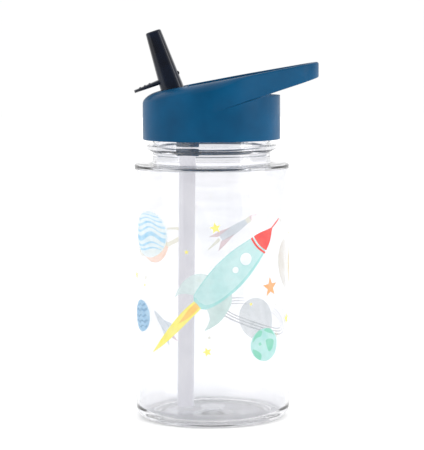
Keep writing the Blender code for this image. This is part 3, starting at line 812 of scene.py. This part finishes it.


# the straw's glow is painted light, which keeps it pale inside the clear bottle where the lamps leave it dim
strawLook = {"dark": "#efeef5", "light": "#f8f7fc", "patch": 60.0, "streak": 90.0,
             "stretch": (1.0, 1.0, 0.05), "roughness": (0.45, 0.55), "dull": 0.08, "wear": 0.10,
             "worn": "#fdfcff", "grain": (900.0, 0.06, 0.05), "paintedGlow": 0.78,
             "plain": {"Specular IOR Level": 0.25}}
makeStraw(paint("straw_plastic", strawLook))

siliconeLook = {"dark": "#d6d5d2", "light": "#e6e5e2", "patch": 120.0, "streak": 200.0,
                "roughness": (0.5, 0.62), "dull": 0.08, "wear": 0.1, "worn": "#f0efec",
                "grain": (2200.0, 0.15, 0.04)}
silicone = paint("silicone", siliconeLook)
for node in ("lid_gasket", "spout_seal", "vent_valve"):
    kept = bpy.data.objects[node]
    kept.data.materials.clear()
    kept.data.materials.append(silicone)
print("scene: straw and seals")


# print: thin ink films round the clear wall. Outlines are (distance round the wall, height) in mm,
# with distance 0 at the front and growing towards the carry loop.
# Each ink has a dark and a light shade, and how thin and how thick its wash gets.

inks = {
    "base": ("#ffffff", "#ffffff", 0.30, 0.42),
    "mint": ("#c2e6e6", "#cfecec", 0.84, 0.94),
    "mintEdge": ("#9fdcd9", "#afe3e1", 0.78, 0.90),
    "mintPale": ("#cfe6e4", "#dbefed", 0.60, 0.74),
    "mintGrey": ("#c0d8d5", "#cde2df", 0.78, 0.88),
    "red": ("#ee4444", "#f35a50", 0.90, 0.97),
    "glass": ("#eef3fd", "#fbfcff", 0.85, 0.95),
    "yellow": ("#fdf26c", "#fff68c", 0.84, 0.95),
    "amber": ("#fdc96e", "#ffd88c", 0.82, 0.94),
    "orange": ("#f9a765", "#fdb67c", 0.86, 0.95),
    "skyPale": ("#e0f3fc", "#eef9fe", 0.70, 0.82),
    "sky": ("#a6d8f6", "#c4e7fb", 0.72, 0.90),
    "blue": ("#8fbadb", "#a9cde6", 0.86, 0.95),
    "blueDark": ("#7aa6cc", "#8ab4d6", 0.40, 0.60),
    "peach": ("#f8d2bd", "#fbe0d2", 0.70, 0.84),
    "sea": ("#a9dcd8", "#bbe4e0", 0.86, 0.95),
    "leaf": ("#86d3b8", "#9adcc6", 0.80, 0.92),
    "pink": ("#f2888f", "#f79aa0", 0.42, 0.54),
    "ice": ("#cbe4f1", "#d9edf7", 0.45, 0.58),
    "iceDark": ("#a9cbdd", "#bcd8e6", 0.42, 0.54),
    "cream": ("#fcef8e", "#fef5a8", 0.34, 0.46),
    "fog": ("#d3e2e2", "#dfeaea", 0.45, 0.60),
    "slate": ("#a6a8b2", "#b4b6c0", 0.50, 0.66),
    "bone": ("#f6e6bd", "#f9eccc", 0.60, 0.74),
    "clay": ("#dcb98c", "#e5c79f", 0.60, 0.74),
}
farInks = ("pink", "ice", "iceDark", "cream", "fog", "slate", "bone", "clay")
inkLook = {"patch": 170.0, "streak": 260.0, "roughness": (0.42, 0.58), "dull": 0.1, "wear": 0.10,
           "grain": (3000.0, 0.06, 0.01), "plain": {"Specular IOR Level": 0.2}}
# painted light: each ink glows with its own colour, the far side's inks more, so that they look lit through
# the bottle
inkPaintedGlow = {"near": 0.4, "far": 0.6}
filmStep = 1.2      # longest flat stretch of a film, so that it follows the round wall
inkMaterials = {}


def inkMaterial(name):
    dark, light, low, high = inks[name]
    paintedGlow = inkPaintedGlow["far" if name in farInks else "near"]
    look = {**inkLook, "dark": dark, "light": light, "alpha": (low, high), "paintedGlow": paintedGlow}
    return paint("ink_" + name, look)


def inkFilm(name, ink, shapes, lift):
    # each shape is a list of loops: its outline, then any holes
    bm = bmesh.new()
    for loops in shapes:
        edges = []
        for loop in loops:
            ring = [bm.verts.new((s, 0.0, z)) for s, z in loop]
            edges += [bm.edges.new(pair) for pair in zip(ring, ring[1:] + ring[:1])]
        bmesh.ops.triangle_fill(bm, use_beauty=True, use_dissolve=False, edges=edges)
    low = min(v.co.x for v in bm.verts)
    high = max(v.co.x for v in bm.verts)
    cut = low + filmStep
    while cut < high:
        everything = list(bm.verts) + list(bm.edges) + list(bm.faces)
        bmesh.ops.bisect_plane(bm, geom=everything, dist=1e-5, plane_co=(cut, 0, 0), plane_no=(1, 0, 0))
        cut += filmStep
    radius = bodyRadius + lift
    for vert in bm.verts:
        turn = vert.co.x / printRadius
        vert.co = (radius * sin(turn), -radius * cos(turn), vert.co.z)
    mesh = bpy.data.meshes.new(name)
    bm.to_mesh(mesh)
    bm.free()
    film = bpy.data.objects.new(name, mesh)
    scene.collection.objects.link(film)
    if ink not in inkMaterials:
        inkMaterials[ink] = inkMaterial(ink)
    makePiece(film, inkMaterials[ink], "bottle", 60)


def curveStretch(corners, steps):
    # the part of a smooth curve between the second and the third of four points
    a, b, c, d = (Vector(corner) for corner in corners)
    stretch = []
    for k in range(steps):
        t = k / steps
        spot = 0.5 * (2 * b + (c - a) * t + (2 * a - 5 * b + 4 * c - d) * t * t
                      + (3 * b - a - 3 * c + d) * t ** 3)
        stretch.append((spot.x, spot.y))
    return stretch


def smoothLoop(points, steps=8):
    # a closed curve through the points
    count = len(points)
    loop = []
    for i in range(count):
        loop += curveStretch([points[(i + k) % count] for k in (-1, 0, 1, 2)], steps)
    return loop


def smoothLine(points, steps=8):
    # an open curve through the points
    full = [points[0], *points, points[-1]]
    line = []
    for i in range(len(points) - 1):
        line += curveStretch(full[i:i + 4], steps)
    return line + [tuple(points[-1])]


def placed(points, centre, angle=0.0):
    c, s = cos(radians(angle)), sin(radians(angle))
    return [(centre[0] + x * c - y * s, centre[1] + x * s + y * c) for x, y in points]


def disc(centre, radius, tall=1.0, angle=0.0, steps=48):
    turns = [2 * pi * i / steps for i in range(steps)]
    return placed([(radius * cos(t), radius * tall * sin(t)) for t in turns], centre, angle)


def star(centre, radius, angle=0.0, inner=0.45, points=5):
    ring = []
    for i in range(points * 2):
        turn = pi / 2 + pi * i / points
        size = radius * (inner if i % 2 else 1.0)
        ring.append((size * cos(turn), size * sin(turn)))
    return placed(ring, centre, angle)


def ribbon(line, width, taper=0.25):
    # a line with thickness, thinner at both ends
    left, right = [], []
    for i, point in enumerate(line):
        before, after = line[max(0, i - 1)], line[min(len(line) - 1, i + 1)]
        along = Vector((after[0] - before[0], after[1] - before[1])).normalized()
        share = i / (len(line) - 1)
        half = width / 2 * (taper + (1 - taper) * min(1.0, 5 * share, 5 * (1 - share)))
        left.append((point[0] - along.y * half, point[1] + along.x * half))
        right.append((point[0] + along.y * half, point[1] - along.x * half))
    return left + right[::-1]


def discBand(radius, low, high, tall=1.0, steps=60):
    # the part of a disc between two curves, as outlines
    thinnest = 0.05
    found, run = [], []
    for i in range(steps + 1):
        x = -radius + 2 * radius * i / steps
        edge = tall * sqrt(max(0.0, radius * radius - x * x))
        top, bottom = min(edge, high(x)), max(-edge, low(x))
        if top - bottom > thinnest:
            run.append((x, bottom, top))
        if run and (top - bottom <= thinnest or i == steps):
            if len(run) > 2:
                found.append([(x, b) for x, b, t in run] + [(x, t) for x, b, t in reversed(run)])
            run = []
    return found


def wavy(level, height, length, phase):
    return lambda x: level + height * sin(2 * pi * x / length + phase)


# how far each layer of ink stands off the wall
baseLift, mainLift, detailLift, topLift = 0.012, 0.026, 0.040, 0.054
nudge = 0.006       # between two inks of one layer that meet

# the big rocket, in its own frame: first number along its flight, second to its left
rocketTail, rocketAngle = (-5.5, 56.2), 42.0
hullLeft = smoothLine([(0.0, 4.3), (3.0, 5.3), (7.5, 6.3), (12.0, 7.1), (17.5, 7.7), (25.0, 7.6),
                       (31.0, 6.6), (37.6, 4.9)])[::-1]
hullRight = smoothLine([(0.0, -3.7), (3.0, -4.9), (7.5, -5.9), (13.0, -6.5), (19.0, -6.8), (25.0, -6.5),
                        (31.0, -5.8), (38.4, -4.6)])
hull = hullRight + [(37.2, 0.2)] + hullLeft + [(-1.3, 2.8), (-1.8, 0.3), (-1.3, -2.2)]
shine = smoothLine([(1.4, -2.3), (4.5, -3.9), (9, -4.9), (14, -5.3), (20, -5.4), (26, -5.0),
                    (32, -4.4), (37.5, -3.6)])
shine += [(36.9, 0.2)] + [(u, v - 0.35) for u, v in hullLeft] + [(0.3, 2.6), (0.1, 0.6)]
cone = [(37.9, 4.9)] + smoothLine([(39.6, 4.5), (42.6, 3.2), (45.6, 1.5), (48.2, 0.2)], 5)
cone += smoothLine([(48.2, -0.2), (45.8, -1.8), (43.2, -3.3), (40.4, -4.3), (38.6, -4.7)], 5)
cone += smoothLine([(38.6, -4.7), (37.8, -2.3), (37.4, 0.2), (37.5, 2.6), (37.9, 4.9)], 4)[1:-1]
bandLine = smoothLine([(36.9, -5.1), (36.1, -2.4), (35.6, 0.2), (35.7, 2.8), (36.1, 5.3)], 4)
band = bandLine + [(u + 1.0, v * 0.985) for u, v in reversed(bandLine)]
leftFin = smoothLine([(11.4, 6.5), (9.3, 9.3), (5.9, 11.5), (0.7, 12.1), (-3.7, 11.2), (-7.6, 9.6)])
leftFin += smoothLine([(-7.6, 9.6), (-4.8, 9.1), (-2.1, 7.4), (0.4, 4.2)])
rightFin = smoothLine([(13.4, -6.2), (10.6, -9.2), (7.0, -10.8), (1.8, -11.9), (-3.0, -11.5), (-7.0, -10.4)])
rightFin += smoothLine([(-7.0, -10.4), (-4.0, -9.4), (-1.2, -7.6), (0.6, -3.6)])
finRib = ribbon(smoothLine([(11.6, -7.4), (8.6, -9.4), (3.5, -10.7), (-3.0, -10.7)]), 0.5)
flame = smoothLine([(-1.0, 2.4), (-6.8, 2.6), (-12.8, 2.2), (-20.6, 1.2), (-34.4, -0.8)])
flame += smoothLine([(-34.4, -0.8), (-26.5, -2.3), (-17.1, -2.7), (-8.2, -2.4), (-1.0, -2.0)])
core = smoothLine([(-1.2, 1.5), (-6.3, 1.3), (-13.5, -0.2)])
core += smoothLine([(-13.5, -0.2), (-7.9, -1.4), (-1.2, -1.2)])


def onRocket(*loops):
    return [placed(loop, rocketTail, rocketAngle) for loop in loops]


windows = ((28.4, 0.3, 2.85), (21.6, 0.2, 1.5))
panes = [disc((u, v), r + 0.2) for u, v, r in windows]
inkFilm("print_rocket_base", "base", [onRocket(hull), onRocket(flame), onRocket(cone)], baseLift)
inkFilm("print_rocket_left_fin", "mintPale", [onRocket(leftFin)], baseLift + nudge)
inkFilm("print_rocket_right_fin", "mintGrey", [onRocket(rightFin)], baseLift + nudge)
inkFilm("print_rocket_fin_rib", "mintPale", [onRocket(finRib)], detailLift)
inkFilm("print_rocket_flame", "yellow", [onRocket(flame)], mainLift - 0.004)
inkFilm("print_rocket_flame_core", "amber", [onRocket(core)], detailLift)
inkFilm("print_rocket_edge", "mintEdge", [onRocket(hull)], mainLift)
inkFilm("print_rocket_hull", "mint", [onRocket(shine, *panes)], detailLift)
inkFilm("print_rocket_windows", "glass", [onRocket(disc((u, v), r)) for u, v, r in windows], detailLift)
antenna = ribbon([(47.8, 0.1), (51.0, -0.3), (54.5, -0.7)], 0.8, 0.7)
inkFilm("print_rocket_red", "red", [onRocket(cone), onRocket(band), onRocket(antenna)], topLift)

# striped planet with a warm crescent
stripedAt, stripedRadius, stripedTall = (-32.7, 85.6), 11.7, 0.88
inkFilm("print_striped_planet", "skyPale", [[disc(stripedAt, stripedRadius, stripedTall)]], mainLift)
stripes = []
for level, thick, height, phase in ((-7.8, 0.8, 0.8, 0.2), (-5.6, 1.0, 1.1, 0.6), (-2.4, 2.4, 1.5, 0.9),
                                    (1.9, 0.9, 1.3, 1.2), (4.5, 1.1, 1.1, 1.5), (7.2, 0.6, 0.8, 1.9),
                                    (9.2, 0.5, 0.5, 2.3)):
    lowCurve = wavy(level * stripedTall, height, 19.0, phase)
    highCurve = wavy((level + thick) * stripedTall, height * 0.9, 18.4, phase + 0.2)
    for loop in discBand(stripedRadius - 0.5, lowCurve, highCurve, stripedTall):
        stripes.append([placed(loop, stripedAt)])
inkFilm("print_striped_planet_bands", "sky", stripes, detailLift)
crescent = smoothLine([(-35.6, 75.3), (-32.2, 73.7), (-28.4, 73.2), (-25.0, 74.2), (-22.3, 76.6),
                       (-20.4, 80.6)])
against = stripedRadius + 0.1
turns = [radians(t) for t in range(-24, -106, -3)]
crescent += [(stripedAt[0] + against * cos(t), stripedAt[1] + against * stripedTall * sin(t)) for t in turns]
inkFilm("print_crescent", "peach", [[crescent]], mainLift)

# small rough blue planet
blueAt = (-39.9, 48.2)
inkFilm("print_blue_planet", "blue", [[disc(blueAt, 7.6, 0.94)]], mainLift)
swirls = []
for level, thick, phase in ((-5.0, 0.6, 0.3), (-2.9, 0.9, 1.2), (-0.4, 0.7, 2.2), (2.2, 1.0, 0.8),
                            (4.6, 0.6, 2.7)):
    lowCurve, highCurve = wavy(level, 0.45, 5.4, phase), wavy(level + thick, 0.35, 4.6, phase + 0.6)
    swirls += [[placed(loop, blueAt, 6)] for loop in discBand(6.7, lowCurve, highCurve)]
inkFilm("print_blue_planet_bands", "blueDark", swirls, detailLift)

# sea planet with green patches
seaAt = (25.6, 36.5)
inkFilm("print_sea_planet", "sea", [[disc(seaAt, 8.0, 0.92)]], mainLift + nudge)
lands = [
    [(-7.0, 1.6), (-4.8, 3.4), (-2.6, 4.0), (-1.8, 6.0), (-3.4, 6.6), (-5.6, 4.9)],
    [(-0.6, 6.6), (1.8, 5.2), (4.6, 4.4), (6.0, 3.4), (4.4, 6.0), (2.0, 7.2)],
    [(0.4, 1.8), (3.0, 2.4), (5.6, 1.2), (4.8, -1.8), (2.6, -3.4), (1.2, -1.4)],
    [(-6.8, -1.6), (-4.2, -2.6), (-2.2, -4.4), (-2.8, -6.6), (-4.8, -5.8), (-6.6, -3.4)],
    [(-3.8, 0.9), (-2.6, 1.2), (-2.2, 0.1), (-3.4, -0.2)],
]
inkFilm("print_sea_planet_land", "leaf", [[placed(smoothLoop(land, 6), seaAt)] for land in lands],
        detailLift)

# stars between them, each with its distance round the wall, height, radius and turn
inkFilm("print_orange_star", "orange", [[star((29.0, 61.9), 4.7, 4, 0.42)]], mainLift)
yellowStars = [(1.5, 89.4, 2.6, 12), (-11.5, 78.7, 1.15, 0), (-47.0, 65.8, 1.9, 12), (-36.4, 62.4, 0.85, 0),
               (-2.4, 34.6, 2.2, 20), (44.3, 46.0, 2.9, 8), (17.8, 55.2, 0.9, 0), (48.6, 84.5, 1.1, 0)]
paleStars = [(-109.0, 30.2, 1.2, 0), (67.9, 88.7, 1.3, 0), (-64.9, 30.4, 2.6, 5), (73.2, 48.5, 1.0, 8),
             (72.8, 34.4, 2.2, 4), (-70.0, 62.0, 1.8, 8), (-62.0, 95.0, 1.6, 0), (-104.0, 58.0, 1.6, 0),
             (101.0, 62.0, 2.0, 15)]
inkFilm("print_yellow_stars", "yellow", [[star((s, z), r, a)] for s, z, r, a in yellowStars], mainLift)
inkFilm("print_pale_stars", "cream", [[star((s, z), r, a)] for s, z, r, a in paleStars], mainLift)

# far side: a small rocket, a ringed planet, a pale rocket, a ringed sun and a cratered moon
farTail, farAngle = (106.3, 78.2), 147.5


def onFar(*loops):
    return [placed(loop, farTail, farAngle) for loop in loops]


farHull = smoothLine([(0.0, -1.5), (5, -2.1), (10, -1.9), (15.4, -1.2)])
farHull += [(u, -v) for u, v in reversed(farHull)]
farBelt = [(15.4, -1.2), (18.0, -1.3), (18.0, 1.3), (15.4, 1.2)]
farNose = smoothLine([(18.0, -1.3), (20.6, -1.1), (23.8, 0.0)], 4)
farNose += [(u, -v) for u, v in reversed(farNose)]
farWings = [[(7.0, -1.9), (1.0, -3.2), (-4.6, -3.6), (-0.8, -1.2), (1.0, -1.5)],
            [(7.0, 1.9), (1.0, 3.6), (-4.4, 4.6), (-0.8, 1.3), (1.0, 1.5)]]
farFlame = smoothLoop([(-1.0, 0.9), (-5.0, 1.4), (-8.8, 1.4), (-5.0, 0.2), (-1.0, -0.6)], 4)
inkFilm("print_far_rocket_hull", "ice", [onFar(farHull)], mainLift)
inkFilm("print_far_rocket_pink", "pink", [onFar(farNose)] + [onFar(wing) for wing in farWings], mainLift)
inkFilm("print_far_rocket_yellow", "cream", [onFar(farBelt), onFar(farFlame)], mainLift)

ringedAt = (87.0, 40.3)
inkFilm("print_ringed_planet", "fog", [[disc(ringedAt, 10.4, 0.97)]], mainLift)


def hoop(centre, radius, tall, width, start, end, tilt):
    turns = [radians(start + (end - start) * i / 60) for i in range(61)]
    line = [(radius * cos(t), radius * tall * sin(t)) for t in turns]
    return [placed(ribbon(line, width, 0.4), centre, tilt)]


hoops = [hoop((86.0, 42.2), radius, tall, width, 116, 424, 9)
         for radius, tall, width in ((18.5, 0.22, 0.55), (20.7, 0.26, 0.6), (22.8, 0.30, 0.75))]
inkFilm("print_ringed_planet_hoops", "slate", hoops, detailLift)

paleTail, paleAngle = (-88.3, 33.8), 48.0
paleHull = smoothLoop([(0, -1.3), (5, -1.8), (10, -1.4), (15.8, 0.0), (10, 1.4), (5, 1.8), (0, 1.3)], 6)
paleFins = [[(7.5, 1.6), (3.0, 3.6), (-4.2, 4.4), (0.0, 1.2)],
            [(7.0, -1.6), (2.0, -3.2), (-4.8, -4.6), (0.0, -1.2)]]
paleFlame = smoothLoop([(-0.5, 0.8), (-3.4, 0.7), (-6.2, 0.4), (-3.4, -0.5), (-0.5, -0.8)], 4)
inkFilm("print_pale_rocket", "ice", [[placed(paleHull, paleTail, paleAngle)]], mainLift)
inkFilm("print_pale_rocket_fins", "iceDark", [[placed(fin, paleTail, paleAngle)] for fin in paleFins],
        detailLift)
inkFilm("print_pale_rocket_flame", "pink", [[placed(paleFlame, paleTail, paleAngle)]], mainLift)

sunAt = (-79.5, 78.4)
inkFilm("print_ringed_sun", "cream", [[disc(sunAt, 7.6, 1.0)]], mainLift)
inkFilm("print_ringed_sun_hoop", "cream", [hoop(sunAt, 17.6, 0.24, 2.2, 118, 422, -10)], detailLift)

moonAt = (59.3, 69.4)
inkFilm("print_moon", "bone", [[disc(moonAt, 11.4, 1.0)]], mainLift)
craters = [(-5.0, 3.5, 1.9), (2.0, 6.5, 1.3), (4.2, -1.0, 2.3), (-3.0, -5.5, 1.5), (7.6, 3.4, 1.0),
           (-7.6, -1.6, 1.1), (3.4, -7.4, 1.4)]
craterDiscs = [[disc((moonAt[0] + s, moonAt[1] + z), r, 1.3)] for s, z, r in craters]
inkFilm("print_moon_craters", "clay", craterDiscs, detailLift)
print("scene: print")
